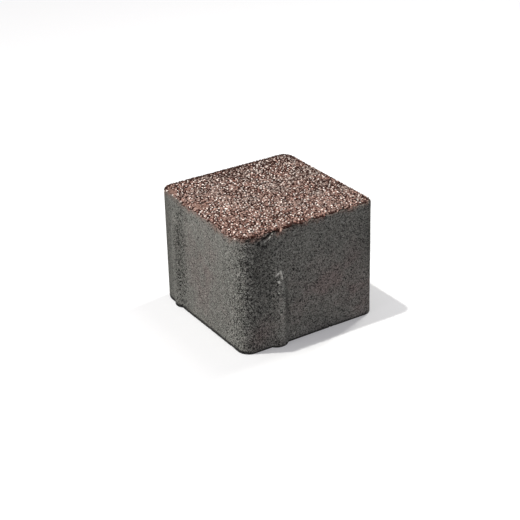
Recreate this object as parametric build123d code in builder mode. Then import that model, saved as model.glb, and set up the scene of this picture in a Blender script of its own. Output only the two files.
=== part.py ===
"""A square concrete paving stone with a spacer nib on each side, in millimetres.

The stone is pressed in one mould and cures as one piece. Its origin is the middle
of the bed face, +Z points up to the wearing face, and -Y is the front.
"""

import os
from math import atan2, degrees

from build123d import *

# Driving dimensions of the block
base_side = 100.0  # side of the square at the bed face
height = 80.0  # bed face to wearing face
mould_draft = 0.4  # how far each side leans in between the bed and the wearing face
corner_radius = 8.0  # upright corners, at the bed face
arris_radius = 2.0  # rounded edge of the wearing face

# Driving dimensions of the spacer nibs
nib_depth = 3.0  # how far a nib stands proud of its side, which is the joint it keeps
nib_width = 12.0  # chord of a nib where it meets its side
nib_top_gap = 9.0  # a nib has faded out this far below the wearing face
nib_runout = 16.0  # height over which a nib fades out
front_nib_from_corner = 26.5  # on the front and back, from the side's left end to the nib's middle
flank_nib_from_corner = 18.5  # on the left and right, from the side's left end to the nib's middle

# Worked out from the sizes above
draft_angle = degrees(atan2(mould_draft, height))
half_side = base_side / 2
nib_top = height - nib_top_gap
nib_radius = (nib_width**2 / 4 + nib_depth**2) / (2 * nib_depth)
nib_axis_depth = nib_radius - nib_depth
nib_end_radius = nib_axis_depth - mould_draft

# The four sides by the way they face, each with its nib's distance from its left end
sides = (
    (Vector(0, -1, 0), front_nib_from_corner),
    (Vector(1, 0, 0), flank_nib_from_corner),
    (Vector(0, 1, 0), front_nib_from_corner),
    (Vector(-1, 0, 0), flank_nib_from_corner),
)
upward = Vector(0, 0, 1)


with BuildPart() as paving_stone:
    # The block: a rounded square that leans in by the mould's draft
    with BuildSketch():
        RectangleRounded(base_side, base_side, corner_radius)
    extrude(amount=height, taper=draft_angle)
    wearing_face = paving_stone.faces().sort_by(Axis.Z)[-1]
    fillet(wearing_face.edges(), arris_radius)

    # The nibs: upright half-round ribs, turned about an axis inside the block,
    # that rise from the bed face and curve back into the side near the top
    for outward, from_left_end in sides:
        leftward = outward.cross(upward)
        nib_foot = outward * (half_side - nib_axis_depth) + leftward * (half_side - from_left_end)
        with BuildSketch(Plane(origin=nib_foot, x_dir=outward, z_dir=leftward)):
            with BuildLine():
                crest = Line((nib_radius, 0), (nib_radius, nib_top - nib_runout))
                fade = TangentArc(crest @ 1, (nib_end_radius, nib_top), tangent=crest % 1)
                Polyline(fade @ 1, (0, nib_top), (0, 0), crest @ 0)
            make_face()
        revolve(axis=Axis(nib_foot, upward))

paving_stone.part.label = "paving_stone"

os.makedirs("parts", exist_ok=True)
export_step(paving_stone.part, "parts/paving_stone.step")
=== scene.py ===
"""A square concrete paving stone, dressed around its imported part.

The stone is one closed surface that follows the mould: drafted sides, rounded
corners, spacer nibs and a rounded arris, all worn and pitted by noise worked out on
whole arrays. The washed wearing face is a bed of angular stone chips set into the
mortar. Sizes are in millimetres and become metres when a mesh is made.
"""

import logging
import math
from dataclasses import dataclass, field, replace
from enum import Enum
from typing import Any

import bpy
import numpy as np
from mathutils import Matrix, Vector
from numpy.typing import NDArray


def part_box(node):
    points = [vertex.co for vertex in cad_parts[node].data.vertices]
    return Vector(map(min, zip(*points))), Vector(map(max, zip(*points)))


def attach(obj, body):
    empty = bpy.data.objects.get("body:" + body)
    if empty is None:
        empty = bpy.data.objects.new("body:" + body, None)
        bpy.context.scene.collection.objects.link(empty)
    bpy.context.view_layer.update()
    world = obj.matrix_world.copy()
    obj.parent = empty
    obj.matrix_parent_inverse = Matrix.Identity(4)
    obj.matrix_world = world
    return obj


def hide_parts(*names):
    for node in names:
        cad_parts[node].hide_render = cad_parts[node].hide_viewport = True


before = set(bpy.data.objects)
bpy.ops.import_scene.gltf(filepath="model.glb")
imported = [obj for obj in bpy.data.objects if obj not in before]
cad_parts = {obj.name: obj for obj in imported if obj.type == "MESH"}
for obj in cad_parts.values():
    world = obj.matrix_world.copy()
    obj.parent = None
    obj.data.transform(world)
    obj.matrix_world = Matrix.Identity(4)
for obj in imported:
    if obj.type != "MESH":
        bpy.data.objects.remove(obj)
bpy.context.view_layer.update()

Floats = NDArray[np.float64]
Ints = NDArray[np.int64]
Flags = NDArray[np.bool_]
Colour = tuple[float, float, float]
Place = tuple[float, float, float]

MM = 0.001
IMAGE_SIDE = 520.0
log = logging.getLogger("paving_stone")


class Noise:
    """Seeded random fields, worked out at every point of an array at once."""

    @staticmethod
    def lattice(cells: Ints, seed: int) -> Floats:
        """One random number in 0..1 for each whole-number lattice point, by mixing its bits.

        Args:
            cells: Lattice points, (..., 3).
            seed: Picks the field.

        Returns:
            The random numbers, (...).
        """
        whole = cells.astype(np.int64)
        mixed = whole[..., 0] * 0x8DA6B343 + whole[..., 1] * 0xD8163841 + whole[..., 2] * 0xCB1AB31F
        mixed = (mixed + seed * 0x9E3779B1) & 0xFFFFFFFF
        for shift, factor in ((16, 0x45D9F3B), (15, 0x2C1B3C6D), (13, 0x297A2D39)):
            mixed = ((mixed ^ (mixed >> shift)) * factor) & 0xFFFFFFFF
        return (mixed ^ (mixed >> 16)) / float(0xFFFFFFFF)

    @staticmethod
    def smooth(points: Floats, cell: float, seed: int) -> Floats:
        """Value noise in 0..1: random lattice numbers, eased between the eight corners of each cell.

        Args:
            points: Places in millimetres, (n, 3).
            cell: Size of one cell in millimetres.
            seed: Picks the field.

        Returns:
            The noise, (n,).
        """
        scaled = points / cell
        low = np.floor(scaled).astype(np.int64)
        ease = scaled - low
        ease = ease * ease * (3.0 - 2.0 * ease)
        total = np.zeros(len(points))
        for corner in np.ndindex(2, 2, 2):
            step = np.array(corner)
            weight = np.prod(np.where(step == 1, ease, 1.0 - ease), axis=1)
            total += weight * Noise.lattice(low + step, seed)
        return total

    @staticmethod
    def layered(points: Floats, cell: float, seed: int, layers: int = 3) -> Floats:
        """Several layers of value noise, each half the size and six tenths the weight of the last.

        Args:
            points: Places in millimetres, (n, 3).
            cell: Cell size of the first layer.
            seed: Picks the field.
            layers: How many layers.

        Returns:
            The noise in 0..1, (n,).
        """
        total = np.zeros(len(points))
        weights = 0.0
        for layer in range(layers):
            weight = 0.6**layer
            total += weight * Noise.smooth(points, cell * 0.5**layer, seed + layer)
            weights += weight
        return total / weights

    @staticmethod
    def bowls(points: Floats, cell: float, seed: int, share: Floats, radius: tuple[float, float]) -> Floats:
        """Round pits scattered one to a cell: the deepest bowl, 1 - (distance / radius)^2, at each point.

        Args:
            points: Places in millimetres, (n, 3).
            cell: Size of one cell in millimetres.
            seed: Picks the field.
            share: How many of the cells near each point hold a pit, 0..1, (n,).
            radius: Smallest and largest pit.

        Returns:
            Depth from 0, no pit, to 1, the middle of a pit, (n,).
        """
        low = np.floor(points / cell).astype(np.int64)
        deepest = np.zeros(len(points))
        smallest, largest = radius
        for offset in np.ndindex(3, 3, 3):
            home = low + np.array(offset) - 1
            middle = np.stack([Noise.lattice(home, seed + axis) for axis in range(3)], axis=1)
            reach = smallest + (largest - smallest) * Noise.lattice(home, seed + 3) ** 2
            away = np.linalg.norm(points - (home + middle) * cell, axis=1)
            there = Noise.lattice(home, seed + 4) < share
            deepest = np.maximum(deepest, np.where(there, 1.0 - (away / reach) ** 2, 0.0))
        return deepest


def eased(value: Floats, low: float, high: float) -> Floats:
    """A smooth step from 0 at low to 1 at high."""
    share = np.clip((value - low) / (high - low), 0.0, 1.0)
    return share * share * (3.0 - 2.0 * share)


def mound(points: Floats, centre: Place, reach: Place) -> Floats:
    """A soft ellipsoid: 1 at its centre, falling as a bell curve to little past its reach.

    Args:
        points: Places in millimetres, (n, 3).
        centre: Its middle.
        reach: Its half sizes along X, Y and Z.

    Returns:
        The bell's height at each point, (n,).
    """
    away = (points - np.array(centre)) / np.array(reach)
    return np.exp(-np.sum(away * away, axis=1))


@dataclass
class Surface:
    """A mesh under construction: its points, faces and the named numbers that its finish reads."""

    points: Floats
    quads: Ints
    triangles: Ints
    fields: dict[str, Floats] = field(default_factory=dict)

    def make(self, name: str, smooth: bool) -> bpy.types.Object:
        """Puts the arrays into a mesh object at the origin, in metres.

        Args:
            name: The piece's name.
            smooth: Whether its faces are shaded smoothly.

        Returns:
            The new object, linked to the scene.
        """
        mesh = bpy.data.meshes.new(name)
        corners = np.concatenate([self.quads.ravel(), self.triangles.ravel()])
        counts = np.concatenate([np.full(len(self.quads), 4), np.full(len(self.triangles), 3)])
        mesh.vertices.add(len(self.points))
        mesh.loops.add(len(corners))
        mesh.polygons.add(len(counts))
        mesh.vertices.foreach_set("co", (self.points * MM).astype(np.float32).ravel())
        mesh.loops.foreach_set("vertex_index", corners.astype(np.int32))
        mesh.polygons.foreach_set("loop_start", (np.cumsum(counts) - counts).astype(np.int32))
        mesh.polygons.foreach_set("use_smooth", np.full(len(counts), smooth))
        for label, values in self.fields.items():
            attribute = mesh.attributes.new(label, "FLOAT", "POINT")
            attribute.data.foreach_set("value", values.astype(np.float32))
        mesh.update(calc_edges=True)
        mesh.validate()
        piece = bpy.data.objects.new(name, mesh)
        bpy.context.scene.collection.objects.link(piece)
        return piece


@dataclass(frozen=True)
class Skin:
    """How a finish meets the light: its bump's strength and depth, its roughness and its gloss."""

    bump: float
    depth: float
    roughness: float
    gloss: float = 0.2


class Signal:
    """A node's output socket. Python's operators on it add Math nodes to its tree."""

    def __init__(self, bench: "Bench", socket: bpy.types.NodeSocket) -> None:
        """Keeps the socket and the bench that it belongs to."""
        self.bench = bench
        self.socket = socket

    def __add__(self, other: Any) -> "Signal":
        """self + other."""
        return self.bench.math("ADD", self, other)

    def __sub__(self, other: Any) -> "Signal":
        """self - other."""
        return self.bench.math("SUBTRACT", self, other)

    def __rsub__(self, other: Any) -> "Signal":
        """other - self."""
        return self.bench.math("SUBTRACT", other, self)

    def __mul__(self, other: Any) -> "Signal":
        """self * other."""
        return self.bench.math("MULTIPLY", self, other)

    __radd__ = __add__
    __rmul__ = __mul__


class Bench:
    """A node tree on which a finish is put together."""

    def __init__(self, tree: bpy.types.NodeTree) -> None:
        """Empties the tree."""
        self.tree = tree
        tree.nodes.clear()

    def node(
        self,
        kind: str,
        settings: dict[str, Any] | None = None,
        sockets: dict[str | int, Any] | None = None,
    ) -> bpy.types.Node:
        """Adds any node.

        Args:
            kind: The node's type.
            settings: Its own properties, set first.
            sockets: Values or links for its inputs, by name or number.

        Returns:
            The node.
        """
        made = self.tree.nodes.new(kind)
        for name, value in (settings or {}).items():
            setattr(made, name, value)
        for key, value in (sockets or {}).items():
            if isinstance(value, Signal):
                self.tree.links.new(value.socket, made.inputs[key])
            else:
                made.inputs[key].default_value = value
        return made

    def out(self, made: bpy.types.Node, name: str | int = 0) -> Signal:
        """One of a node's outputs as a signal."""
        return Signal(self, made.outputs[name])

    def math(self, operation: str, *values: Any) -> Signal:
        """A Math node of that operation."""
        made = self.node("ShaderNodeMath", {"operation": operation}, dict(enumerate(values)))
        return self.out(made)

    def attribute(self, name: str) -> Signal:
        """A named number carried by the mesh."""
        return self.out(self.node("ShaderNodeAttribute", {"attribute_name": name}), "Fac")

    def millimetres(self) -> Signal:
        """The place on the piece in its own frame.

        Returns:
            The place, in millimetres.
        """
        place = self.out(self.node("ShaderNodeTexCoord"), "Object")
        scaled = self.node("ShaderNodeVectorMath", {"operation": "SCALE"}, {0: place, "Scale": 1.0 / MM})
        return self.out(scaled)

    def noise(self, place: Signal, cell: float, detail: float = 3.0, roughness: float = 0.6) -> Signal:
        """Noise whose blotches are about one cell wide, in millimetres."""
        sockets = {"Vector": place, "Scale": 1.0 / cell, "Detail": detail, "Roughness": roughness}
        return self.out(self.node("ShaderNodeTexNoise", {}, sockets), 0)

    def grains(self, place: Signal, cell: float) -> tuple[Signal, Signal]:
        """Grains about one cell wide, in millimetres.

        Args:
            place: Where the finish is looked at.
            cell: Size of a grain.

        Returns:
            A random number for each grain, and the distance from its middle in cells.
        """
        made = self.node("ShaderNodeTexVoronoi", {}, {"Vector": place, "Scale": 1.0 / cell})
        parts = self.node("ShaderNodeSeparateColor", {}, {0: self.out(made, "Color")})
        return self.out(parts, 0), self.out(made, "Distance")

    def span(self, value: Signal, low: float, high: float, start: float = 0.0, end: float = 1.0) -> Signal:
        """Eases from start, where the value is low, to end, where it is high."""
        sockets = {"Value": value, "From Min": low, "From Max": high, "To Min": start, "To Max": end}
        return self.out(self.node("ShaderNodeMapRange", {"interpolation_type": "SMOOTHSTEP"}, sockets))

    def blend(self, share: Any, first: Any, second: Any, how: str = "MIX") -> Signal:
        """Mixes two colours.

        Args:
            share: How much of the second, a signal or a number.
            first: A colour or a colour signal.
            second: A colour or a colour signal.
            how: The way of mixing.

        Returns:
            The mixed colour.
        """
        made = self.node("ShaderNodeMix", {"data_type": "RGBA", "blend_type": how}, {"Factor": share})
        for number, value in ((6, first), (7, second)):
            if isinstance(value, Signal):
                self.tree.links.new(value.socket, made.inputs[number])
            else:
                made.inputs[number].default_value = (*value, 1.0)
        return self.out(made, 2)

    def brighten(self, colour: Signal, factor: Signal) -> Signal:
        """A colour times a number."""
        scaled = self.node("ShaderNodeVectorMath", {"operation": "SCALE"}, {0: colour, "Scale": factor})
        return self.out(scaled)

    def steps(self, value: Signal, stops: tuple[tuple[float, Colour], ...]) -> Signal:
        """Looks a value up in a row of colours that change in steps.

        Args:
            value: What is looked up, 0..1.
            stops: Where each colour starts, and the colour.

        Returns:
            The colour.
        """
        made = self.node("ShaderNodeValToRGB", {}, {"Fac": value})
        made.color_ramp.interpolation = "CONSTANT"
        while len(made.color_ramp.elements) < len(stops):
            made.color_ramp.elements.new(1.0)
        for element, (position, colour) in zip(made.color_ramp.elements, stops):
            element.position = position
            element.color = (*colour, 1.0)
        return self.out(made)

    def surface(self, shader: Signal) -> None:
        """Ends the tree in the shader.

        Args:
            shader: What the surface or the world shows.
        """
        in_world = isinstance(self.tree.id_data, bpy.types.World)
        kind = "ShaderNodeOutputWorld" if in_world else "ShaderNodeOutputMaterial"
        self.node(kind, {}, {"Surface": shader})

    def stone(self, colour: Signal, height: Signal, skin: Skin) -> None:
        """Ends the tree in a matt, bumpy stone.

        Args:
            colour: Its colour.
            height: What the bump follows.
            skin: How it meets the light.
        """
        grain = {"Strength": skin.bump, "Distance": skin.depth * MM, "Height": height}
        bump = self.node("ShaderNodeBump", {}, grain)
        sockets = {
            "Base Color": colour,
            "Roughness": skin.roughness,
            "Specular IOR Level": skin.gloss,
            "Normal": self.out(bump),
        }
        self.surface(self.out(self.node("ShaderNodeBsdfPrincipled", {}, sockets)))

    def seen(self) -> Signal:
        """1 for rays that show the background: camera, glossy and transmitted ones.

        Returns:
            The signal, 0 for all other rays.
        """
        path = self.node("ShaderNodeLightPath")
        straight = self.math("MAXIMUM", self.out(path, "Is Camera Ray"), self.out(path, "Is Glossy Ray"))
        return self.math("MAXIMUM", straight, self.out(path, "Is Transmission Ray"))


def new_material(name: str) -> tuple[bpy.types.Material, Bench]:
    """A new material and the bench for its nodes.

    Args:
        name: The material's name.

    Returns:
        The material, and its empty bench.
    """
    made = bpy.data.materials.new(name)
    made.use_nodes = True
    return made, Bench(made.node_tree)


@dataclass(frozen=True)
class MouldedConcrete:
    """Grey concrete as it leaves the mould, with the red face mix where the stone carries it."""

    grey: Colour = (0.194, 0.1925, 0.178)
    brown: Colour = (0.214, 0.180, 0.170)
    mortar: Colour = (0.250, 0.150, 0.122)
    # Near-black mortar: painted shade for the deep gaps between the chips
    gap: Colour = (0.036, 0.008, 0.003)
    sand_cell: float = 0.52
    grit_cell: float = 0.74
    pore_cell: float = 2.2
    fine_cell: float = 0.5
    tint_cell: float = 5.0
    blotch_cell: float = 9.0
    skin: Skin = Skin(bump=0.5, depth=0.4, roughness=0.9)

    def material(self) -> bpy.types.Material:
        """Grey sand and cement, blotched brown, specked with grains, dark in pits and pores from dirt and
        painted shade.

        Returns:
            The material.
        """
        made, bench = new_material("moulded_concrete")
        place = bench.millimetres()
        rough = bench.attribute("rough")
        sand, middle = bench.grains(place, self.sand_cell)
        coarse, _ = bench.grains(place, self.grit_cell)
        fine = bench.noise(place, self.fine_cell, 2.0)
        blotch = bench.noise(place, self.blotch_cell)
        speck = bench.span(coarse, 0.92, 0.97) * 0.8
        dark = bench.span(coarse, 0.14, 0.08) * 1.1
        chance, away = bench.grains(place, self.pore_cell)
        pore = bench.span(away, 0.34, 0.20) * bench.math("LESS_THAN", chance, bench.attribute("pores"))
        grit = (sand - 0.5) * 1.9 + speck - dark + (fine - 0.5) * 0.6
        level = bench.math("MAXIMUM", 1.04 + grit * rough + (blotch - 0.5) * 0.12, 0.12)
        # The shade field carries the marks' stains and much painted light and shade, and painted shade along
        # the bed edge
        level = level * bench.attribute("shade")
        # Pits and pores darken the stone: partly dirt, partly painted shade in the hollows
        hole = bench.math("MAXIMUM", pore, bench.attribute("pit"))
        tint = bench.noise(place, self.tint_cell)
        stone = bench.blend(bench.attribute("warm") + (tint - 0.5) * 0.8, self.grey, self.brown)
        stone = bench.blend(bench.attribute("stain"), stone, self.mortar)
        stone = bench.brighten(stone, level * (1.0 - bench.math("MINIMUM", hole, 1.0) * 0.86))
        # Painted shade: mortar lying deep between the chips turns near black
        mortar = bench.blend(bench.span(bench.attribute("depth"), 0.25, 0.95), self.mortar, self.gap)
        mortar = bench.brighten(mortar, (0.55 + sand * 0.45 + fine * 0.45) * bench.attribute("shade"))
        colour = bench.blend(bench.attribute("wash"), stone, mortar)
        height = fine * 0.5 + (sand - middle) * rough * 0.5 - pore
        bench.stone(colour, height, self.skin)
        return made


@dataclass(frozen=True)
class ExposedChips:
    """Crushed red stone with pale and dark chips among it."""

    tones: tuple[tuple[float, Colour], ...] = (
        # The near-black tone is dark stone and also painted shade: black chips stand where shadowed gaps
        # would show
        (0.00, (0.030, 0.005, 0.001)),
        (0.235, (0.252, 0.118, 0.092)),
        (0.34, (0.408, 0.251, 0.209)),
        (0.61, (0.517, 0.342, 0.293)),
        (0.88, (0.930, 0.793, 0.725)),
        (0.93, (1.000, 0.890, 0.835)),
    )
    dust: Colour = (0.422, 0.330, 0.294)
    crystal_cell: float = 0.55
    mottle_cell: float = 0.6
    skin: Skin = Skin(bump=0.3, depth=0.3, roughness=0.6)

    def material(self, name: str) -> bpy.types.Material:
        """Each chip has its own tone, mottled inside and dusted with mortar.

        Args:
            name: The material's name.

        Returns:
            The material.
        """
        made, bench = new_material(name)
        place = bench.millimetres()
        colour = bench.steps(bench.attribute("tone"), self.tones)
        colour = bench.blend(bench.attribute("dust"), colour, self.dust)
        mottle = bench.noise(place, self.mottle_cell)
        crystal, _ = bench.grains(place, self.crystal_cell)
        colour = bench.brighten(colour, 0.24 + mottle * 0.5 + crystal * 1.08)
        bench.stone(colour, mottle, self.skin)
        return made


class Side(Enum):
    """The four upright sides by the way they run, seen from above, against the clock."""

    FRONT = (1.0, 0.0)
    RIGHT = (0.0, 1.0)
    BACK = (-1.0, 0.0)
    LEFT = (0.0, -1.0)

    @property
    def along(self) -> Floats:
        """The way the side runs."""
        return np.array([*self.value, 0.0])

    @property
    def outward(self) -> Floats:
        """The way the side faces."""
        run_x, run_y = self.value
        return np.array([run_y, -run_x, 0.0])


@dataclass(frozen=True)
class Nib:
    """An upright half-round spacer rib on one side."""

    side: Side
    place: float
    wear: float
    depth: float = 3.0
    width: float = 12.0
    crest_top: float = 55.0
    top: float = 71.0
    draft: float = 0.4
    side_height: float = 80.0

    def height_over_side(self, across: Floats, height: Floats) -> Floats:
        """How far the nib stands proud of its side.

        It is a circle's height over its chord, and the circle shrinks along an arc near the top.

        Args:
            across: Distance from the side's middle along the side.
            height: Height over the bed face.

        Returns:
            The nib's height over the drafted side, never less than 0.
        """
        radius = (self.width**2 / 4 + self.depth**2) / (2 * self.depth)
        axis_depth = radius - self.depth
        drop = self.depth + self.draft
        runout = self.top - self.crest_top
        arc_radius = (runout**2 + drop**2) / (2 * drop)
        climbed = np.clip(height - self.crest_top, 0.0, runout)
        fade = arc_radius - np.sqrt(arc_radius**2 - climbed**2)
        local = np.maximum(radius - fade - self.wear, 0.0)
        chord = np.sqrt(np.maximum(local**2 - (across - self.place) ** 2, 0.0))
        return np.maximum(chord - axis_depth + self.draft * height / self.side_height, 0.0)


@dataclass(frozen=True)
class Mark:
    """One spot of wear or stain, with painted light and shade in its shade: a soft ellipsoid and what it
    does to the concrete inside it.
    """

    centre: Place
    reach: Place
    wear: float = 0.0
    shade: float = 0.0
    rough: float = 0.0
    pits: float = 0.0
    warm: float = 0.0
    wash: float = 0.0
    broken: bool = False

    def row(self, step: Place, count: int) -> "tuple[Mark, ...]":
        """The same mark over and over, a step apart, from its own place on."""
        centres = np.array(self.centre) + np.arange(count)[:, None] * np.array(step)
        return tuple(replace(self, centre=tuple(centre)) for centre in centres)


@dataclass
class MouldedBlock:
    """The stone itself: one closed surface from the bed face to the mortar of the wearing face."""

    half_side: float
    height: float
    draft: float = 0.4
    corner: float = 8.0
    arris: float = 2.0
    bed_edge: float = 0.6
    cells_per_side: int = 144
    low_zone: float = 2.4
    high_zone: float = 70.0
    low_rows: int = 5
    side_rows: int = 90
    high_rows: int = 21
    arris_rows: int = 5
    bed_step: int = 4
    bed_hollow: float = 0.35
    red_drop: float = 4.4
    red_drop_front: float = 1.6
    red_drop_left: float = 4.2
    ragged_broad: float = 3.4
    ragged_fine: float = 4.2
    sand_relief: float = 0.08
    swell_relief: float = 0.20
    pit_relief: float = 0.7
    bite_relief: float = 0.4
    nibs: tuple[Nib, ...] = (
        Nib(Side.FRONT, -23.5, 0.1),
        Nib(Side.RIGHT, -31.5, 0.3),
        Nib(Side.BACK, -23.5, 0.2),
        Nib(Side.LEFT, -31.5, 1.2),
    )
    marks: tuple[Mark, ...] = (
        # The grainy front corner, painted shade where it turns from the light, and the dark stretch between
        # it and the front nib
        Mark((-50.0, -50.0, 32.0), (9.0, 18.0, 56.0), rough=1.10, pits=0.07),
        Mark((-35.0, -50.0, 54.0), (10.5, 8.0, 36.0), shade=-0.34, rough=0.50, pits=0.10),
        Mark((-47.0, -47.0, 40.0), (4.5, 5.5, 60.0), shade=-0.12),
        Mark((-41.0, -50.0, 28.0), (7.0, 8.0, 60.0), shade=-0.13),
        Mark((-50.0, -42.5, 44.0), (8.0, 4.0, 50.0), shade=-0.11),
        # The front nib: a painted highlight down its crest, painted shade down its right flank, a worn
        # stretch, and two worn pits darkened by painted shade
        Mark((-23.6, -53.0, 22.0), (2.3, 5.0, 26.0), shade=0.50, rough=-0.15),
        Mark((-19.4, -50.5, 29.0), (2.0, 5.0, 12.0), shade=-0.66),
        Mark((-25.0, -53.0, 46.0), (4.5, 5.0, 14.0), wear=0.6),
        Mark((-24.8, -53.0, 50.0), (2.4, 5.0, 4.0), shade=0.18, rough=-0.3),
        Mark((-25.6, -53.0, 36.6), (1.1, 3.0, 0.8), wear=0.6, shade=-0.80),
        Mark((-22.6, -53.0, 36.0), (1.3, 3.0, 1.1), wear=0.7, shade=-0.90),
        # The front's darker patches, painted light on its foot, and painted shade down both far corners
        # where they turn from the light
        Mark((46.0, -50.0, 60.0), (10.0, 8.0, 26.0), shade=-0.15),
        Mark((38.0, -50.0, 54.0), (15.0, 8.0, 16.0), shade=-0.16),
        Mark((14.0, -50.0, 58.0), (13.0, 8.0, 6.0), shade=-0.12),
        Mark((-8.0, -50.0, 71.0), (9.0, 8.0, 5.0), shade=-0.12),
        Mark((14.0, -50.0, 72.0), (14.0, 8.0, 7.0), shade=-0.05),
        Mark((-9.0, -50.0, 5.5), (8.0, 8.0, 4.0), shade=0.34),
        Mark((36.0, -50.0, 6.0), (14.0, 8.0, 4.0), shade=0.24),
        Mark((48.7, -46.3, 40.0), (4.4, 4.4, 90.0), shade=-0.55),
        Mark((-48.7, 46.3, 40.0), (4.2, 4.2, 90.0), shade=-0.42),
        # The left nib, pitted, with painted shade down its right flank, and the smooth darker strip beside
        # it
        Mark((-50.5, 24.0, 36.0), (8.0, 5.4, 50.0), shade=-0.34, rough=0.50, pits=0.85),
        Mark((-50.0, 42.0, 40.0), (9.0, 9.0, 80.0), shade=-0.30, rough=-0.25),
        Mark((-50.0, -8.0, 70.0), (8.0, 30.0, 10.0), shade=0.10),
        # The bruised front arris: painted shade all along it, bites darkened by painted shade, and red drawn
        # over the corner
        Mark((-22.0, -48.2, 80.0), (28.0, 2.6, 2.0), shade=-0.30),
        Mark((18.0, -47.8, 80.0), (34.0, 2.4, 1.9), shade=-0.48),
        Mark((-8.0, -48.2, 79.7), (20.0, 2.6, 1.6), shade=-0.34, wear=0.5, broken=True),
        Mark((-15.0, -47.9, 80.0), (3.4, 1.7, 1.4), wear=0.4, shade=-0.40, wash=-0.9),
        Mark((3.5, -47.9, 80.0), (3.0, 1.6, 1.3), wear=0.4, shade=-0.40, wash=-0.9),
        Mark((25.0, -47.9, 80.0), (2.6, 1.5, 1.3), wear=0.4, shade=-0.35, wash=-0.8),
        Mark((-45.0, -47.5, 80.0), (6.0, 4.5, 4.0), wash=1.5),
        Mark((-29.0, -49.0, 78.2), (15.0, 4.0, 2.4), wear=0.4, shade=-0.08, rough=0.5, broken=True),
        # The gash over the front nib, its groove darkened by painted shade, with a pale flake above it
        # brightened further by painted light
        *Mark((-34.8, -50.0, 75.7), (1.1, 3.0, 0.52), wear=0.4, shade=-0.80).row((1.1, 0.0, 0.54), 6),
        Mark((-33.4, -49.5, 78.6), (3.6, 3.0, 0.9), wear=-0.3, shade=1.15),
        # Dark streaks and pits beside the gash, darkened by painted shade, and a tongue of red past its end
        Mark((-46.0, -48.8, 77.8), (1.3, 3.0, 0.62), wear=0.4, shade=-0.55),
        Mark((-44.0, -49.3, 78.5), (1.3, 3.0, 0.62), wear=0.4, shade=-0.70),
        Mark((-42.0, -49.0, 79.2), (1.3, 2.5, 0.62), wear=0.4, shade=-0.65),
        Mark((-40.0, -48.6, 79.7), (1.3, 2.0, 0.62), wear=0.4, shade=-0.55),
        Mark((-36.6, -48.4, 79.8), (2.6, 1.6, 0.80), shade=-0.40),
        Mark((-31.0, -48.2, 79.9), (3.0, 1.4, 0.70), shade=-0.40),
        Mark((-37.6, -50.0, 74.1), (1.1, 3.0, 0.9), wear=0.9, shade=-0.95),
        Mark((-37.6, -50.0, 77.0), (3.0, 3.0, 1.2), shade=0.42),
        *Mark((-34.6, -50.0, 71.5), (1.1, 3.0, 0.8), wear=0.8, shade=-0.95).row((2.4, 0.0, -0.6), 2),
        *Mark((-32.6, -48.0, 80.0), (0.9, 1.6, 1.0), wear=0.8, shade=-0.70).row((3.3, 0.0, 0.0), 2),
        Mark((-26.2, -48.6, 79.6), (1.0, 1.6, 1.0), wear=0.8, shade=-0.7),
        Mark((-25.0, -49.8, 77.0), (3.2, 3.0, 1.8), shade=-0.20),
        Mark((-21.9, -49.5, 78.5), (1.3, 3.0, 2.2), wear=-0.9, shade=0.5, wash=4.0),
        # Brown stains and a pitted spot on the front, and warmer cement on the left side
        Mark((14.0, -50.0, 32.0), (28.0, 8.0, 20.0), warm=0.95),
        Mark((38.0, -50.0, 22.0), (14.0, 8.0, 18.0), warm=1.0),
        Mark((-38.0, -50.0, 12.0), (9.0, 8.0, 10.0), warm=0.7),
        Mark((4.5, -50.0, 9.5), (5.0, 8.0, 3.0), pits=0.6),
        Mark((-50.0, -4.0, 38.0), (8.0, 24.0, 30.0), warm=0.6),
    )

    def ring(self, steps: Floats, inset: Floats) -> tuple[Floats, Floats, Ints, Floats]:
        """Points on the rounded square: a straight run on each side, then an arc to each corner's middle.

        Args:
            steps: Places round the square, one side per unit, from corner middle to corner middle.
            inset: How far inside the bed outline each one lies.

        Returns:
            The points at height 0, their outward normals, each one's side and its place along it.
        """
        sides = list(Side)
        number = np.floor(steps).astype(np.int64) % len(sides)
        straight = self.half_side - self.corner
        run = (steps - np.floor(steps) - 0.5) * (2 * straight + self.corner * math.pi / 2)
        flat = np.clip(run, -straight, straight)
        turn = (run - flat) / self.corner
        along = np.array([side.along for side in sides])[number]
        outward = np.array([side.outward for side in sides])[number]
        normal = outward * np.cos(turn)[:, None] + along * np.sin(turn)[:, None]
        points = along * flat[:, None] + outward * straight + normal * (self.corner - inset)[:, None]
        return points, normal, number, flat

    def marked(self, points: Floats, effect: str) -> Floats:
        """The sum of one effect of all the marks at each point, in flecks where a mark is broken.

        Args:
            points: Places in millimetres, (n, 3).
            effect: The name of the mark's effect.

        Returns:
            The effect at each place, (n,).
        """
        chosen = [mark for mark in self.marks if getattr(mark, effect) != 0.0]
        spots = [getattr(mark, effect) * mound(points, mark.centre, mark.reach) for mark in chosen]
        flecks = 1.9 * eased(Noise.layered(points, 2.0, 151, 2), 0.40, 0.60)
        return np.sum([spot * (flecks if mark.broken else 1.0) for mark, spot in zip(chosen, spots)], axis=0)

    def past_flat(self, points: Floats) -> Floats:
        """How far outside the flat of the wearing face each place lies, across a rounded square.

        Args:
            points: Places in millimetres, (n, 3).

        Returns:
            The distance at each place, below 0 inside the flat, (n,).
        """
        beyond = np.abs(points[:, :2]) - (self.half_side - self.corner)
        outside = np.linalg.norm(np.maximum(beyond, 0.0), axis=1)
        return outside + np.minimum(beyond.max(axis=1), 0.0) - self.corner + self.draft + self.arris

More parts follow.
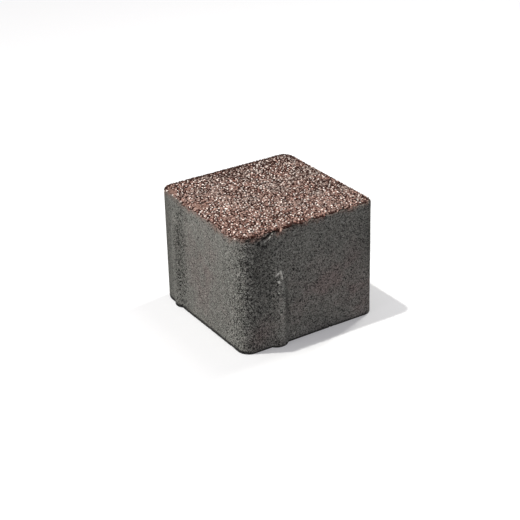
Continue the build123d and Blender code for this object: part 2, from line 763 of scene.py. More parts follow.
    def washed(self, points: Floats) -> Floats:
        """How far inside the red face mix each place lies, in millimetres, below 0 outside it.

        A place's distance over the edge is how far it lies past the flat plus how far below the wearing
        plane. The mix ends at a distance set for each side, made ragged by two sizes of noise.

        Args:
            points: Places in millimetres, (n, 3).

        Returns:
            The distance at each place, (n,).
        """
        x, y, z = points.T
        left = eased(-x, self.half_side - 4.0, self.half_side - 1.2)
        front = eased(-y, self.half_side - 7.0, self.half_side - 4.0)
        plain = self.red_drop
        on_left = self.red_drop_left + 1.7 * eased(-y, -5.0, 34.0) - 3.9 * eased(-y, 41.0, 46.5)
        on_front = self.red_drop_front
        limit = plain + left * (on_left - plain) + front * (1.0 - left) * (on_front - plain)
        squat = points * np.array([1.0, 1.0, 0.4])
        broad = self.ragged_broad * (Noise.smooth(squat, 6.5, 47) - 0.5)
        fine = self.ragged_fine * (Noise.layered(squat, 2.4, 41) - 0.5)
        ragged = broad + fine
        return limit + ragged + self.marked(points, "wash") - self.past_flat(points) - (self.height - z)

    def front_face(self, across: Floats, height: Floats) -> Floats:
        """How far out the mould's front side stands: half the side less the draft, plus the nib."""
        nib = next(nib for nib in self.nibs if nib.side is Side.FRONT)
        return self.half_side - self.draft * height / self.height + nib.height_over_side(across, height)

    def slurry(self, points: Floats) -> Floats:
        """Where mortar was left smeared over the chips: two broken patches along the left arris.

        Args:
            points: Places in millimetres, (n, 3).

        Returns:
            How much mortar lies there, 0..1, (n,).
        """
        patch = np.maximum(
            mound(points, (-44.5, 7.0, 80.0), (5.0, 6.5, 6.0)),
            0.9 * mound(points, (-47.5, 38.0, 80.0), (3.5, 8.0, 6.0)),
        )
        return eased(patch * (0.35 + 1.5 * Noise.layered(points, 2.6, 83)), 0.35, 0.85)

    def relief(self, points: Floats) -> tuple[Floats, dict[str, Floats]]:
        """How far each point is worn inwards from the mould's face, and the fields that the finish reads.

        Args:
            points: Places on the mould's face, (n, 3).

        Returns:
            The wear in millimetres, and the fields rough, shade, warm, stain, pit, pores, wash and depth.
        """
        x, y, z = points.T
        left = eased(-x, self.half_side - 6.0, self.half_side - 1.5)
        front = eased(-y, self.half_side - 6.0, self.half_side - 1.5)
        rough = 0.9 - 0.20 * left - 0.10 * front + self.marked(points, "rough")
        share = np.clip(0.07 + 0.07 * front + self.marked(points, "pits"), 0.0, 1.0)
        pit = Noise.bowls(points, 2.6, 71, 0.7 * share, (0.40, 0.95))
        sand = Noise.layered(points, 1.4, 11, 2) - 0.5
        swell = Noise.smooth(points, 17.0, 23) - 0.5
        wear = self.sand_relief * rough * sand + self.swell_relief * swell + self.pit_relief * pit
        wear = wear + self.marked(points, "wear")
        bed_bites = eased(Noise.layered(points, 6.0, 31), 0.66, 0.8) * (1.0 - eased(z, 0.0, 1.5))
        wear = wear + self.bite_relief * bed_bites
        blotch = eased(Noise.layered(points, 16.0, 61), 0.35, 0.65)
        # Painted shade along the bed edge where the stone meets the floor, wider on the left side
        bed_edge_shade = 1.0 - eased(z - 0.9 * left, 0.9, 1.9)
        inside_red = self.washed(points)
        wash = eased(inside_red, -0.35, 0.35)
        drawn_down = (0.2 + 2.0 * eased(-x, 5.0, 25.0)) * front
        smear = eased(inside_red + drawn_down, -4.5, 0.0)
        smear = smear * (0.35 + 0.9 * eased(Noise.layered(points, 3.0, 67), 0.35, 0.7))
        slurry = self.slurry(points)
        mortar = (0.95 + 0.75 * Noise.layered(points, 2.1, 53)) * (1.0 - 0.75 * slurry)
        fields = {
            "rough": np.maximum(rough, 0.15),
            "shade": np.maximum(1.0 + self.marked(points, "shade") - 0.86 * bed_edge_shade, 0.1),
            "warm": np.clip(self.marked(points, "warm") * (0.3 + blotch), 0.0, 1.0),
            "stain": np.minimum((0.55 + 0.12 * front) * smear, 0.9),
            "pit": pit,
            "pores": share,
            "wash": wash,
            "depth": mortar * wash,
        }
        return wear * (1.0 - wash) + mortar * wash, fields

    def profile(self) -> tuple[Floats, Floats, Floats]:
        """The upright profile: a small rounded bed edge, the drafted side and the rounded arris.

        Returns:
            For each row its inset, its height and the lean of its normal, in radians over level.
        """
        under = np.linspace(-math.pi / 2, 0.0, 4)[:-1]
        over = np.linspace(0.0, math.pi / 2, self.arris_rows + 1)[1:]
        heights = (self.bed_edge, self.low_zone, self.high_zone, self.height - self.arris)
        counts = (self.low_rows, self.side_rows, self.high_rows)
        zones = [
            np.linspace(low, high, count, endpoint=False)
            for low, high, count in zip(heights[:-1], heights[1:], counts)
        ]
        rise = np.append(np.concatenate(zones), heights[-1])
        inset = np.concatenate([
            self.bed_edge * (1.0 - np.cos(under)),
            self.draft * rise / self.height,
            self.draft + self.arris * (1.0 - np.cos(over)),
        ])
        height = np.concatenate([
            self.bed_edge * (1.0 + np.sin(under)),
            rise,
            self.height - self.arris * (1.0 - np.sin(over)),
        ])
        lean = np.concatenate([under, np.zeros(len(rise)), over])
        return inset, height, lean

    def build(self) -> Surface:
        """Joins the sides, the wearing face and the bed face into one closed surface.

        Returns:
            The surface with its fields.
        """
        count = self.cells_per_side
        around = 4 * count
        inset, height, lean = self.profile()
        rows = len(inset)
        steps = np.tile(np.arange(around) / count, rows)
        insets = np.repeat(inset, around)
        heights = np.repeat(height, around)
        leans = np.repeat(lean, around)
        sides, normals, numbers, flats = self.ring(steps, insets)
        sides[:, 2] = heights
        for nib in self.nibs:
            here = numbers == list(Side).index(nib.side)
            proud = np.where(here, nib.height_over_side(flats, heights), 0.0)
            sides += normals * proud[:, None]
        normals = normals * np.cos(leans)[:, None]
        normals[:, 2] = np.sin(leans)

        # The wearing face: squares inside squares, each a scaled copy of the arris ring
        grid = np.linspace(-1.0, 1.0, count + 1)[1:-1]
        across, deep = (part.ravel() for part in np.meshgrid(grid, grid, indexing="ij"))
        size = np.maximum(np.abs(across), np.abs(deep))
        edge_x = across / np.maximum(size, 1e-9)
        edge_y = deep / np.maximum(size, 1e-9)
        place = np.select(
            [edge_y <= -1.0 + 1e-9, edge_x >= 1.0 - 1e-9, edge_y >= 1.0 - 1e-9],
            [edge_x / 2 + 0.5, edge_y / 2 + 1.5, 2.5 - edge_x / 2],
            3.5 - edge_y / 2,
        )
        top, _, _, _ = self.ring(place, np.full(len(place), self.draft + self.arris))
        top = top * size[:, None]
        top[:, 2] = self.height
        points = np.concatenate([sides, top])
        normals = np.concatenate([normals, np.tile([0.0, 0.0, 1.0], (len(top), 1))])
        wear, fields = self.relief(points)
        points = points - normals * wear[:, None]
        reach = self.half_side + max(nib.depth for nib in self.nibs)
        points = np.clip(points, [-reach, -reach, 0.0], [reach, reach, self.height])

        # Faces of the sides, then of the wearing face, whose rim is the last row of the sides
        first = np.arange((rows - 1) * around).reshape(rows - 1, around)
        right = np.roll(first, -1, axis=1)
        wall = np.stack([first, right, right + around, first + around], axis=-1).reshape(-1, 4)
        index = np.zeros((count + 1, count + 1), np.int64)
        rim = (rows - 1) * around
        index[1:-1, 1:-1] = rows * around + np.arange((count - 1) ** 2).reshape(count - 1, count - 1)
        run = np.arange(count)
        index[run, 0] = rim + run
        index[count, run] = rim + count + run
        index[count - run, count] = rim + 2 * count + run
        index[0, count - run] = rim + 3 * count + run
        cap = np.stack(
            [index[:-1, :-1], index[1:, :-1], index[1:, 1:], index[:-1, 1:]], axis=-1
        ).reshape(-1, 4)
        surface = Surface(points, np.concatenate([wall, cap]), np.zeros((0, 3), np.int64), fields)
        self.close_bed(surface, around)
        return surface

    def close_bed(self, surface: Surface, around: int) -> None:
        """Adds the bed face: rings that shrink to the middle, each with fewer points.

        Args:
            surface: The surface to close.
            around: Points in its lowest row.
        """
        count = around // self.bed_step
        coarse = np.arange(count) * self.bed_step
        start = len(surface.points)
        shares = np.array([0.97, 0.85, 0.7, 0.55, 0.4, 0.25, 0.12])
        rings = surface.points[coarse][None, :, :] * np.array([1.0, 1.0, 0.0])
        rings = (rings * shares[:, None, None]).reshape(-1, 3)
        rings[:, 2] = self.bed_hollow * Noise.layered(rings, 5.0, 91)
        middle = np.array([[0.0, 0.0, 0.1]])
        surface.points = np.concatenate([surface.points, rings, middle])
        for label, values in surface.fields.items():
            filler = np.full(len(rings) + 1, 1.0 if label in ("rough", "shade") else 0.0)
            surface.fields[label] = np.concatenate([values, filler])
        number = np.arange(count)
        following = (number + 1) % count
        inner = start + number
        inner_next = start + following
        fans = [
            np.stack([inner, (coarse + step + 1) % around, coarse + step], axis=-1)
            for step in range(self.bed_step)
        ]
        fans.append(np.stack([inner, inner_next, (coarse + self.bed_step) % around], axis=-1))
        last = start + (len(shares) - 1) * count
        hub = np.full(count, len(surface.points) - 1)
        fans.append(np.stack([last + number, hub, last + following], axis=-1))
        between = np.arange(len(shares) - 1)[:, None] * count + start
        strips = np.stack(
            [between + number, between + number + count, between + following + count, between + following],
            axis=-1,
        ).reshape(-1, 4)
        surface.quads = np.concatenate([surface.quads, strips])
        surface.triangles = np.concatenate(fans)

    def dress(self, finish: MouldedConcrete) -> bpy.types.Object:
        """Makes the piece and gives it its finish.

        Args:
            finish: The concrete.

        Returns:
            The piece, riding on the part.
        """
        piece = self.build().make("stone_body", True)
        piece.data.materials.append(finish.material())
        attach(piece, "root")
        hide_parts("paving_stone")
        return piece


class Cut(Enum):
    """How a chip's raw shape is cut."""

    CRUSHED = "icosahedron"
    SPLIT = "octahedron"


@dataclass(frozen=True)
class Gravel:
    """One size of stone chip in the face mix."""

    name: str
    cut: Cut
    pitch: float
    radius: float
    sink: float
    scatter: float
    paler: float
    bold: float


@dataclass
class WashedFace:
    """The exposed chips of the wearing face, which roll over the arris a little way down the sides."""

    block: MouldedBlock
    gravels: tuple[Gravel, ...] = (
        Gravel("washed_chips", Cut.CRUSHED, 1.18, 0.51, -0.22, 0.30, 0.0, 0.25),
        Gravel("washed_grit", Cut.SPLIT, 0.86, 0.36, 0.30, 0.28, -0.14, 0.0),
    )
    seed: int = 217
    white_from: float = 0.82
    white_tone: float = 0.88
    white_gap: float = 1.6
    black_to: float = 0.235
    overhang: float = 5.0
    longest_roll: float = 8.0
    shift: float = 0.32
    bend: tuple[float, float] = (0.72, 1.25)
    thinnest: Place = (0.85, 0.75, 0.60)
    thickest: Place = (1.35, 1.10, 1.05)
    size_spread: float = 0.22
    tilt_spread: float = 0.35
    patch_swing: float = 0.22
    shadow_of_white: float = 0.30
    most_dust: float = 0.92
    whites: Floats = field(default_factory=lambda: np.zeros((0, 3)))

    @staticmethod
    def octahedron() -> tuple[Floats, Ints]:
        """The six corners and eight faces of the raw shape of a small chip.

        Returns:
            The corners at distance 1, and the faces with their outer side to the front.
        """
        corners = np.concatenate([np.eye(3), -np.eye(3)])
        faces = np.array([
            (0, 1, 2), (1, 3, 2), (3, 4, 2), (4, 0, 2), (1, 0, 5), (3, 1, 5), (4, 3, 5), (0, 4, 5)
        ])
        return corners, faces

    @staticmethod
    def icosahedron() -> tuple[Floats, Ints]:
        """The twelve corners and twenty faces of the raw shape of a large chip.

        Returns:
            The corners at distance 1, and the faces with their outer side to the front.
        """
        golden = (1.0 + math.sqrt(5.0)) / 2.0
        corners = np.array([
            [side * 1.0, turn * golden, 0.0] for turn in (1, -1) for side in (-1, 1)
        ])
        corners = np.concatenate([corners, np.roll(corners, 1, axis=1), np.roll(corners, 2, axis=1)])
        corners /= np.linalg.norm(corners, axis=1)[:, None]
        close = np.linalg.norm(corners[:, None] - corners[None], axis=2) < 1.2
        trios = np.array(np.triu_indices(12, 1)).T
        faces = np.array([
            (one, two, three)
            for one, two in trios
            for three in range(two + 1, 12)
            if close[one, two] and close[two, three] and close[one, three]
        ])
        spread = corners[faces]
        facing = np.cross(spread[:, 1] - spread[:, 0], spread[:, 2] - spread[:, 0])
        inward = np.sum(facing * spread.mean(axis=1), axis=1) < 0
        faces[inward] = faces[inward][:, ::-1]
        return corners, faces

    def scatter(self, pitch: float, rng: np.random.Generator) -> Floats:
        """Places on the unrolled face: a staggered grid, each place shifted at random.

        Args:
            pitch: Distance between neighbours.
            rng: The random draws.

        Returns:
            The places, (n, 2).
        """
        reach = self.block.half_side + self.overhang
        columns = np.arange(-reach, reach, pitch)
        lines = np.arange(-reach, reach, pitch * math.sqrt(3.0) / 2.0)
        u, v = np.meshgrid(columns, lines, indexing="ij")
        u = u + (np.arange(len(lines)) % 2) * pitch / 2
        places = np.stack([u.ravel(), v.ravel()], axis=1)
        return places + rng.uniform(-self.shift, self.shift, places.shape) * pitch

    def roll_over(self, places: Floats) -> tuple[Floats, Floats, Floats, Floats]:
        """Lays the unrolled face on the stone: flat inside, then round the arris, then down the side.

        Args:
            places: Places on the unrolled face, (n, 2).

        Returns:
            Their points on the stone, the way down the side and the way out of the face at each,
            and how far past the flat they lie.
        """
        block = self.block
        radius = block.arris
        half = block.half_side - block.draft - radius
        corner = block.corner - block.draft - radius
        beyond = np.abs(places) - (half - corner)
        out = np.maximum(beyond, 0.0)
        distance = np.linalg.norm(out, axis=1) + np.minimum(beyond.max(axis=1), 0.0) - corner
        single = np.where(beyond[:, :1] > beyond[:, 1:], [[1.0, 0.0]], [[0.0, 1.0]])
        length = np.linalg.norm(out, axis=1)[:, None]
        way = np.where(length > 0.0, out / np.maximum(length, 1e-9), single)
        way = way * np.where(places < 0.0, -1.0, 1.0)
        past = np.maximum(distance, 0.0)
        turn = np.minimum(past / radius, math.pi / 2)
        below = np.maximum(past - radius * math.pi / 2, 0.0)
        flat = places - way * past[:, None] + way * (radius * np.sin(turn))[:, None]
        level = block.height - radius * (1.0 - np.cos(turn)) - below
        outward = np.concatenate([way, np.zeros((len(way), 1))], axis=1)
        upward = np.array([0.0, 0.0, 1.0])
        normal = outward * np.sin(turn)[:, None] + upward * np.cos(turn)[:, None]
        first = outward * np.cos(turn)[:, None] - upward * np.sin(turn)[:, None]
        return np.concatenate([flat, level[:, None]], axis=1), first, normal, past

    def beside_white(self, points: Floats) -> Floats:
        """How far each place lies from the nearest large white chip, in millimetres.

        Args:
            points: Places in millimetres, (n, 3).

        Returns:
            The distance at each place, (n,).
        """
        own = np.sum(points**2, axis=1)[:, None]
        others = np.sum(self.whites**2, axis=1)
        square = own + others - 2.0 * points @ self.whites.T
        return np.sqrt(np.maximum(square.min(axis=1), 0.0))

    def apart(self, points: Floats, rank: Floats) -> Flags:
        """Which of these places have no other place of higher rank within the gap between white chips."""
        near = np.sum((points[:, None] - points[None]) ** 2, axis=2) < self.white_gap**2
        return ~np.any(near & (rank[None] > rank[:, None]), axis=1)

    def rim_shade(self, points: Floats) -> Floats:
        """Painted shade on the chips: how much darker they are along the far edges, and in patches along the
        front one.

        Args:
            points: Places in millimetres, (n, 3).

        Returns:
            How far their tone drops, (n,).
        """
        x, y, _ = points.T
        edge = self.block.past_flat(points)
        far = eased(edge, -1.9, -0.3) * (1.0 - eased(edge, 1.0, 2.2))
        far = far * np.maximum(0.30 * eased(x, 40.0, 46.0), 0.62 * eased(y, 40.0, 46.0))
        front = eased(edge, -1.6, 0.2) * eased(-y, 42.0, 46.0)
        front = front * (0.30 + 0.35 * eased(Noise.layered(points, 4.0, 103), 0.42, 0.58))
        return far + front

    def balance(self, points: Floats) -> Floats:
        """How much paler or darker each part of the face is: a slow drift, and three broad patches.

        Args:
            points: Places in millimetres, (n, 3).

        Returns:
            How far the tone is shifted, (n,).
        """
        x, y, _ = points.T
        drift = -0.0012 * x - 0.0024 * y
        back = -0.06 * eased(y, 20.0, 42.0)
        front_left = -0.09 * eased(-y, 12.0, 36.0) * eased(-x, -10.0, 15.0)
        back_left = 0.06 * eased(0.6 * y - x, 15.0, 60.0)
        return drift + back + front_left + back_left

    def toned(self, points: Floats, gravel: Gravel, draw: Floats) -> tuple[Floats, Flags]:
        """Turns each chip's random draw into its tone.

        The draw is shifted by broad patches of noise and by the balance of the face. The highest are
        white, where no higher one is near. Painted shade darkens the chips along the edges of the face,
        and those beside a white.

        Args:
            points: The chips' places, (n, 3).
            gravel: Their size.
            draw: A random number in 0..1 for each, (n,).

        Returns:
            Each chip's tone, 0..1, and whether it is a white one.
        """
        x, y, _ = points.T
        # Painted shade on the chips along the edges of the face
        rim_shade = self.rim_shade(points)
        left_rim = eased(self.block.past_flat(points), -1.5, 0.5) * eased(-x, 42.0, 46.0)
        tone = draw + gravel.paler + self.patch_swing * (Noise.layered(points, 7.0, 97) - 0.5)
        balance = self.balance(points)
        showy = 0.02 + 0.02 * eased(-y, 20.0, 42.0) + 0.05 * eased(x, 0.0, 30.0)
        white = tone + 0.5 * balance + showy - rim_shade > self.white_from
        white[white] = self.apart(points[white], tone[white])
        tone = tone - rim_shade - 0.05 * left_rim
        pale = np.maximum(tone + 0.04, self.white_tone)
        tone = np.where(white, pale, np.minimum(tone + balance, self.white_tone - 0.01))
        if gravel.bold > 0.0:
            self.whites = points[white]
        shaded = (1.0 - eased(self.beside_white(points), 0.9, 1.8)) * ~white
        return np.clip(tone - self.shadow_of_white * shaded, 0.0, 0.999), white

    def dusty(self, points: Floats, tone: Floats, white: Flags) -> Floats:
        """How dusty each chip is: patches away from the front and left, none on the black chips.

        Args:
            points: Places in millimetres, (n, 3).
            tone: Each chip's tone, (n,).
            white: Which chips are white, (n,).

        Returns:
            How much of each chip the dust hides, 0..1, (n,).
        """
        x, y, _ = points.T
        inner = eased(x + 0.6 * y, -55.0, 10.0) * (1.0 - 0.6 * eased(-y, 18.0, 42.0))
        patches = eased(Noise.layered(points, 9.0, 89), 0.35, 0.7)
        return self.most_dust * inner * patches * (tone > self.black_to) * (1.0 - 0.6 * white)

    def chips(self, raw: Floats, gravel: Gravel, rng: np.random.Generator) -> tuple[Floats, Floats, Floats]:
        """One size of chips: each a bent, stretched solid, tilted and sunk into the mortar.

        Args:
            raw: Corners of the raw shape, (k, 3).
            gravel: The size.
            rng: The random draws.

        Returns:
            The corners of every chip, (n, k, 3), each chip's tone and how dusty it is.
        """
        block = self.block
        places = self.scatter(gravel.pitch, rng)
        points, first, normal, past = self.roll_over(places)
        kept = (block.washed(points) > 0.0) & (past < self.longest_roll)
        points, first, normal = points[kept], first[kept], normal[kept]
        second = np.cross(normal, first)
        count = len(points)
        bent = raw[None] * rng.uniform(*self.bend, (count, len(raw), 1))
        tone, white = self.toned(points, gravel, rng.uniform(0.0, 1.0, count))
        bold = white | (tone < self.black_to)
        radius = gravel.radius * np.exp(rng.normal(0.0, self.size_spread, count))
        radius = radius * (1.0 + gravel.bold * bold)
        stretch = radius[:, None] * rng.uniform(self.thinnest, self.thickest, (count, 3))
        shape = bent * stretch[:, None]
        turn = rng.uniform(0.0, 2 * math.pi, (count, 1))
        tilt = rng.normal(0.0, self.tilt_spread, (count, 1))
        x = shape[..., 0] * np.cos(tilt) - shape[..., 2] * np.sin(tilt)
        z = shape[..., 0] * np.sin(tilt) + shape[..., 2] * np.cos(tilt)
        y = shape[..., 1]
        x, y = x * np.cos(turn) - y * np.sin(turn), x * np.sin(turn) + y * np.cos(turn)
        uneven = np.abs(rng.normal(0.0, gravel.scatter, count)) * (1.0 - 0.6 * white)
        buried = gravel.sink + uneven + 0.52 * block.slurry(points)
        z = z - z.max(axis=1, keepdims=True) - buried[:, None]
        chips = points[:, None] + first[:, None] * x[..., None] + second[:, None] * y[..., None]
        chips = chips + normal[:, None] * z[..., None]
        limit = block.half_side - block.draft
        chips[..., :2] = np.clip(chips[..., :2], -limit, limit)
        chips[..., 2] = np.minimum(chips[..., 2], block.height)
        return chips, tone, self.dusty(points, tone, white)

    def build(self, gravel: Gravel, rng: np.random.Generator) -> Surface:
        """All the chips of one size as one surface.

        Args:
            gravel: The size.
            rng: The random draws.

        Returns:
            The surface, with each chip's tone and dust.
        """
        raw, faces = self.icosahedron() if gravel.cut is Cut.CRUSHED else self.octahedron()
        corners, tone, dust = self.chips(raw, gravel, rng)
        numbers = np.arange(len(corners))[:, None, None] * len(raw)
        fields = {"tone": np.repeat(tone, len(raw)), "dust": np.repeat(dust, len(raw))}
        triangles = (faces[None] + numbers).reshape(-1, 3)
        return Surface(corners.reshape(-1, 3), np.zeros((0, 4), np.int64), triangles, fields)

    def dress(self, finish: ExposedChips) -> list[bpy.types.Object]:
        """Makes a piece of each size of chip and gives it its finish.

        Args:
            finish: The chips' stone.

        Returns:
            The pieces, riding on the part.
        """
        rng = np.random.default_rng(self.seed)
        pieces = []
        for gravel in self.gravels:
            piece = self.build(gravel, rng).make(gravel.name, False)
            piece.data.materials.append(finish.material(gravel.name))
            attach(piece, "root")
            pieces.append(piece)
        return pieces


@dataclass(frozen=True)
class PaleCement:
    """Rubbed cement paste, paler than the face that it sits on."""

    pale: Colour = (0.900, 0.890, 0.830)
    dirty: Colour = (0.330, 0.325, 0.300)
    red: Colour = (0.560, 0.330, 0.260)
    patch_cell: float = 0.9
    skin: Skin = Skin(bump=0.4, depth=0.3, roughness=0.85)

    def material(self) -> bpy.types.Material:
        """Pale paste, dirty in patches, and red where the face mix was drawn down.

        Returns:
            The material.
        """
        made, bench = new_material("pale_cement")
        place = bench.millimetres()
        patch = bench.noise(place, self.patch_cell, 2.0)
        colour = bench.blend(bench.span(patch, 0.42, 0.66) + bench.attribute("dirt"), self.pale, self.dirty)
        colour = bench.blend(bench.attribute("red"), colour, self.red)
        bench.stone(colour, patch, self.skin)
        return made


@dataclass(frozen=True)
class Stroke:
    """One crumb on the front side: its ends as distance along the side and height, and its half width."""

    start: tuple[float, float]
    end: tuple[float, float]
    radius: float
    proud: float
    red: float = 0.0
    dirt: float = 0.0


@dataclass
class CementCrumbs:
    """Paste that stuck to the mould: crumbs on the front nib, and a torn lip across the bruised arris."""

    block: MouldedBlock
    strokes: tuple[Stroke, ...] = (
        # The forked crumb near the nib's top, and two small ones below it
        Stroke((-24.0, 54.0), (-27.7, 49.4), 0.60, 0.20, dirt=0.25),
        Stroke((-24.2, 54.2), (-22.9, 46.6), 0.70, 0.12),
        Stroke((-26.6, 46.4), (-23.8, 45.2), 0.75, 0.25),
        Stroke((-26.0, 38.6), (-24.6, 37.8), 0.55, 0.15, dirt=0.35),
        # The lip, and the fleck past its upper end
        Stroke((-34.6, 74.0), (-31.6, 75.0), 0.50, 0.15, dirt=0.40),
        Stroke((-32.0, 75.0), (-28.4, 76.4), 0.55, 0.15, dirt=0.45),
        Stroke((-28.4, 77.4), (-27.4, 78.2), 0.45, 0.10),
        # The tongue of red paste
        Stroke((-20.4, 79.7), (-22.6, 77.4), 0.75, 0.15, red=0.85),
    )
    rings: int = 13
    around: int = 10

    def build(self) -> Surface:
        """Carries a ring from end to end of each stroke, on the mould's face.

        At a share t of the way the ring's radius is the stroke's radius times the square root of
        sin(pi t), made lumpy by noise, and both ends close in a point.

        Returns:
            The surface of all the crumbs, with how red and how dirty each one is.
        """
        count = len(self.strokes)
        ends = np.array([(stroke.start, stroke.end) for stroke in self.strokes])
        radius = np.array([stroke.radius for stroke in self.strokes])[:, None]
        proud = np.array([stroke.proud for stroke in self.strokes])[:, None]
        share = np.linspace(0.0, 1.0, self.rings + 2)
        line = ends[:, :1] + (ends[:, 1:] - ends[:, :1]) * share[None, :, None]
        run, height = line[..., 0], line[..., 1]
        over = np.clip(height - self.block.height + self.block.arris, 0.0, self.block.arris)
        rounded = self.block.arris - np.sqrt(self.block.arris**2 - over**2)
        out = self.block.front_face(run, height) - rounded + proud - radius
        middle = np.stack([run, -out, height], axis=-1)
        swell = radius * np.sqrt(np.sin(math.pi * share))[None]
        way = ends[:, 1] - ends[:, 0]
        way = way / np.linalg.norm(way, axis=1)[:, None]
        across = np.stack([-way[:, 1], np.zeros(count), way[:, 0]], axis=1)
        angle = np.arange(self.around) * 2 * math.pi / self.around
        side = across[:, None, None, :] * np.cos(angle)[None, None, :, None]
        forward = np.array([0.0, -1.0, 0.0]) * np.sin(angle)[None, None, :, None]
        rings = middle[:, 1:-1, None, :] + (side + forward) * swell[:, 1:-1, None, None]
        lumps = 0.25 + 1.5 * Noise.layered(rings.reshape(-1, 3), 1.1, 131).reshape(rings.shape[:3])
        rings = middle[:, 1:-1, None, :] + (rings - middle[:, 1:-1, None, :]) * lumps[..., None]
        each = self.rings * self.around
        points = np.concatenate([rings.reshape(count, each, 3), middle[:, [0, -1]]], axis=1)
        limit = self.block.half_side + max(nib.depth for nib in self.block.nibs)
        points[..., 1] = np.maximum(points[..., 1], -limit)

        # Faces of one crumb, repeated for all
        first = np.arange(each).reshape(self.rings, self.around)
        after = np.roll(first, -1, axis=1)
        walls = np.stack([first[:-1], after[:-1], after[1:], first[1:]], axis=-1).reshape(-1, 4)
        tip = np.stack([np.full(self.around, each), after[0], first[0]], axis=-1)
        tail = np.stack([np.full(self.around, each + 1), first[-1], after[-1]], axis=-1)
        base = np.arange(count)[:, None, None] * (each + 2)
        quads = (walls[None] + base).reshape(-1, 4)
        triangles = (np.concatenate([tip, tail])[None] + base).reshape(-1, 3)
        fields = {
            label: np.repeat([getattr(stroke, label) for stroke in self.strokes], each + 2)
            for label in ("red", "dirt")
        }
        return Surface(points.reshape(-1, 3), quads, triangles, fields)

    def dress(self, finish: PaleCement) -> bpy.types.Object:
        """Makes the piece and gives it its finish.

        Args:
            finish: The paste.

        Returns:
            The piece, riding on the part.
        """
        piece = self.build().make("cement_crumbs", True)
        piece.data.materials.append(finish.material())
        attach(piece, "root")
        return piece


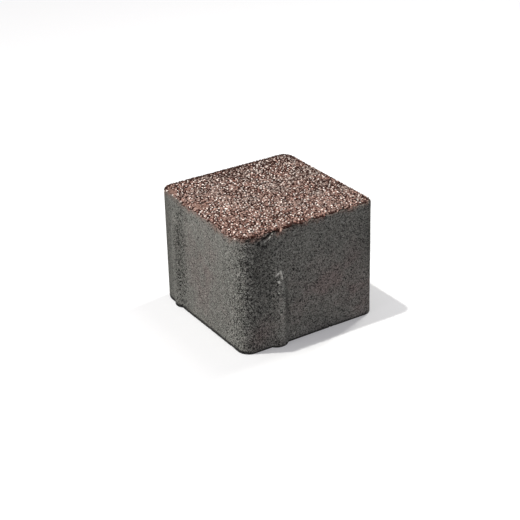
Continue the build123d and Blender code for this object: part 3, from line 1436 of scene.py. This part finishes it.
@dataclass(frozen=True)
class Studio:
    """A pale floor, light from the left, a strip on the right and a camera at the photograph's angle."""

    azimuth: float = -32.6358
    elevation: float = 26.4002
    roll: float = -1.2529
    yaw: float = math.degrees(-0.0057)
    pitch: float = math.degrees(-0.0085)
    distance: float = 837.53
    focal_pixels: float = 1289.82
    target_height: float = 40.0
    floor_seen: Colour = (0.760, 0.762, 0.788)
    floor_bounce: Colour = (0.42, 0.42, 0.42)
    floor_glow: float = 0.215
    lamp_tint: Colour = (1.0, 0.995, 0.92)
    sky_tint: Colour = (1.0, 0.97, 1.06)
    sky_lean: float = 0.5
    key_from: Place = (-23.0, 12.6, 80.0)
    key_level: float = 0.60
    key_angle: float = 1.6
    box_from: Place = (-0.9, 0.18, 0.45)
    box_level: float = 0.28
    box_distance: float = 700.0
    box_size: float = 600.0
    strip_from: Place = (0.60, 0.14, 1.00)
    strip_level: float = 0.46
    strip_size: tuple[float, float] = (40.0, 560.0)
    sky_level: float = 0.29
    floor_reach: float = 6000.0
    sensor: float = 36.0
    nearest: float = 10.0
    farthest: float = 50000.0

    def camera(self) -> bpy.types.Object:
        """The camera: turned about the stone, then by a little yaw, pitch and roll.

        Returns:
            The camera, which is the scene's.
        """
        turn = math.radians(self.azimuth)
        rise = math.radians(self.elevation)
        back = Vector((math.sin(turn) * math.cos(rise), -math.cos(turn) * math.cos(rise), math.sin(rise)))
        right = Vector((math.cos(turn), math.sin(turn), 0.0))
        up = back.cross(right)
        place = Vector((0.0, 0.0, self.target_height)) + back * self.distance
        basis = Matrix((right, up, back)).transposed()
        yaw = Matrix.Rotation(-math.radians(self.yaw), 3, "Y")
        pitch = Matrix.Rotation(math.radians(self.pitch), 3, "X")
        roll = Matrix.Rotation(math.radians(self.roll), 3, "Z")
        data = bpy.data.cameras.new("photo_camera")
        data.sensor_width = self.sensor
        data.lens = self.focal_pixels * self.sensor / IMAGE_SIDE
        data.clip_start = self.nearest * MM
        data.clip_end = self.farthest * MM
        made = bpy.data.objects.new("photo_camera", data)
        made.matrix_world = Matrix.Translation(place * MM) @ (basis @ yaw @ pitch @ roll).to_4x4()
        bpy.context.scene.collection.objects.link(made)
        bpy.context.scene.camera = made
        return made

    def floor(self) -> bpy.types.Object:
        """A wide flat floor that shows white to the camera and keeps the stone's shadow.

        Returns:
            The floor.
        """
        points = np.array([[-1, -1, 0], [1, -1, 0], [1, 1, 0], [-1, 1, 0]]) * self.floor_reach
        made = Surface(points, np.array([[0, 1, 2, 3]]), np.zeros((0, 3), np.int64)).make("floor", False)
        material, bench = new_material("pale_floor")
        seen = bench.seen()
        colour = bench.blend(seen, self.floor_bounce, self.floor_seen)
        matt = bench.node("ShaderNodeBsdfDiffuse", {}, {"Color": colour})
        glow = bench.node("ShaderNodeEmission", {}, {"Strength": seen * self.floor_glow})
        both = bench.node("ShaderNodeAddShader", {}, {0: bench.out(matt), 1: bench.out(glow)})
        bench.surface(bench.out(both))
        made.data.materials.append(material)
        return made

    def lamp(self, data: bpy.types.Light, way: Vector, distance: float) -> bpy.types.Object:
        """Hangs a lamp that way from the stone, pointing back at it.

        Args:
            data: The lamp.
            way: Where it hangs, seen from the stone.
            distance: How far away it hangs, in millimetres.

        Returns:
            The lamp's object.
        """
        data.color = self.lamp_tint
        made = bpy.data.objects.new(data.name, data)
        made.location = way.normalized() * distance * MM
        made.rotation_mode = "QUATERNION"
        made.rotation_quaternion = way.to_track_quat("Z", "Y")
        bpy.context.scene.collection.objects.link(made)
        return made

    def lights(self) -> None:
        """A small high key and a low soft box from the left, a tall strip from the right, and a weak sky."""
        key = bpy.data.lights.new("key", "SUN")
        key.energy = self.key_level * math.pi
        key.angle = math.radians(self.key_angle)
        self.lamp(key, Vector(self.key_from), self.box_distance)
        box = bpy.data.lights.new("left_box", "AREA")
        box.size = self.box_size * MM
        box.energy = self.box_level * math.pi**2 * (self.box_distance * MM) ** 2
        self.lamp(box, Vector(self.box_from), self.box_distance)
        strip = bpy.data.lights.new("right_strip", "AREA")
        strip.shape = "RECTANGLE"
        strip.size, strip.size_y = (length * MM for length in self.strip_size)
        strip.energy = self.strip_level * math.pi**2 * (self.box_distance * MM) ** 2
        self.lamp(strip, Vector(self.strip_from), self.box_distance)
        world = bpy.data.worlds.new("studio")
        world.use_nodes = True
        bpy.context.scene.world = world
        bench = Bench(world.node_tree)
        seen = bench.seen()
        way = bench.out(bench.node("ShaderNodeTexCoord"), "Generated")
        parts = bench.node("ShaderNodeSeparateXYZ", {}, {0: way})
        lean = 1.0 - bench.out(parts, "X") * self.sky_lean
        strength = seen + (1.0 - seen) * lean * self.sky_level
        colour = bench.blend(seen, self.sky_tint, (1.0, 1.0, 1.0))
        sky = bench.node("ShaderNodeBackground", {}, {"Color": colour, "Strength": strength})
        bench.surface(bench.out(sky))
        bpy.context.scene.view_settings.view_transform = "Standard"


def main() -> None:
    """Builds the stone and its studio in order."""
    logging.basicConfig(level=logging.INFO, format="%(name)s: %(message)s")
    _, (reach, _, top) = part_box("paving_stone")
    block = MouldedBlock(half_side=float(reach / MM) - Nib.depth, height=float(top / MM))
    body = block.dress(MouldedConcrete())
    chips = WashedFace(block).dress(ExposedChips())
    crumbs = CementCrumbs(block).dress(PaleCement())
    for piece in (body, *chips, crumbs):
        triangles = sum(len(face.vertices) - 2 for face in piece.data.polygons)
        log.info("%s: %d triangles", piece.name, triangles)
    studio = Studio()
    studio.camera()
    studio.floor()
    studio.lights()


if __name__ == "__main__":
    main()
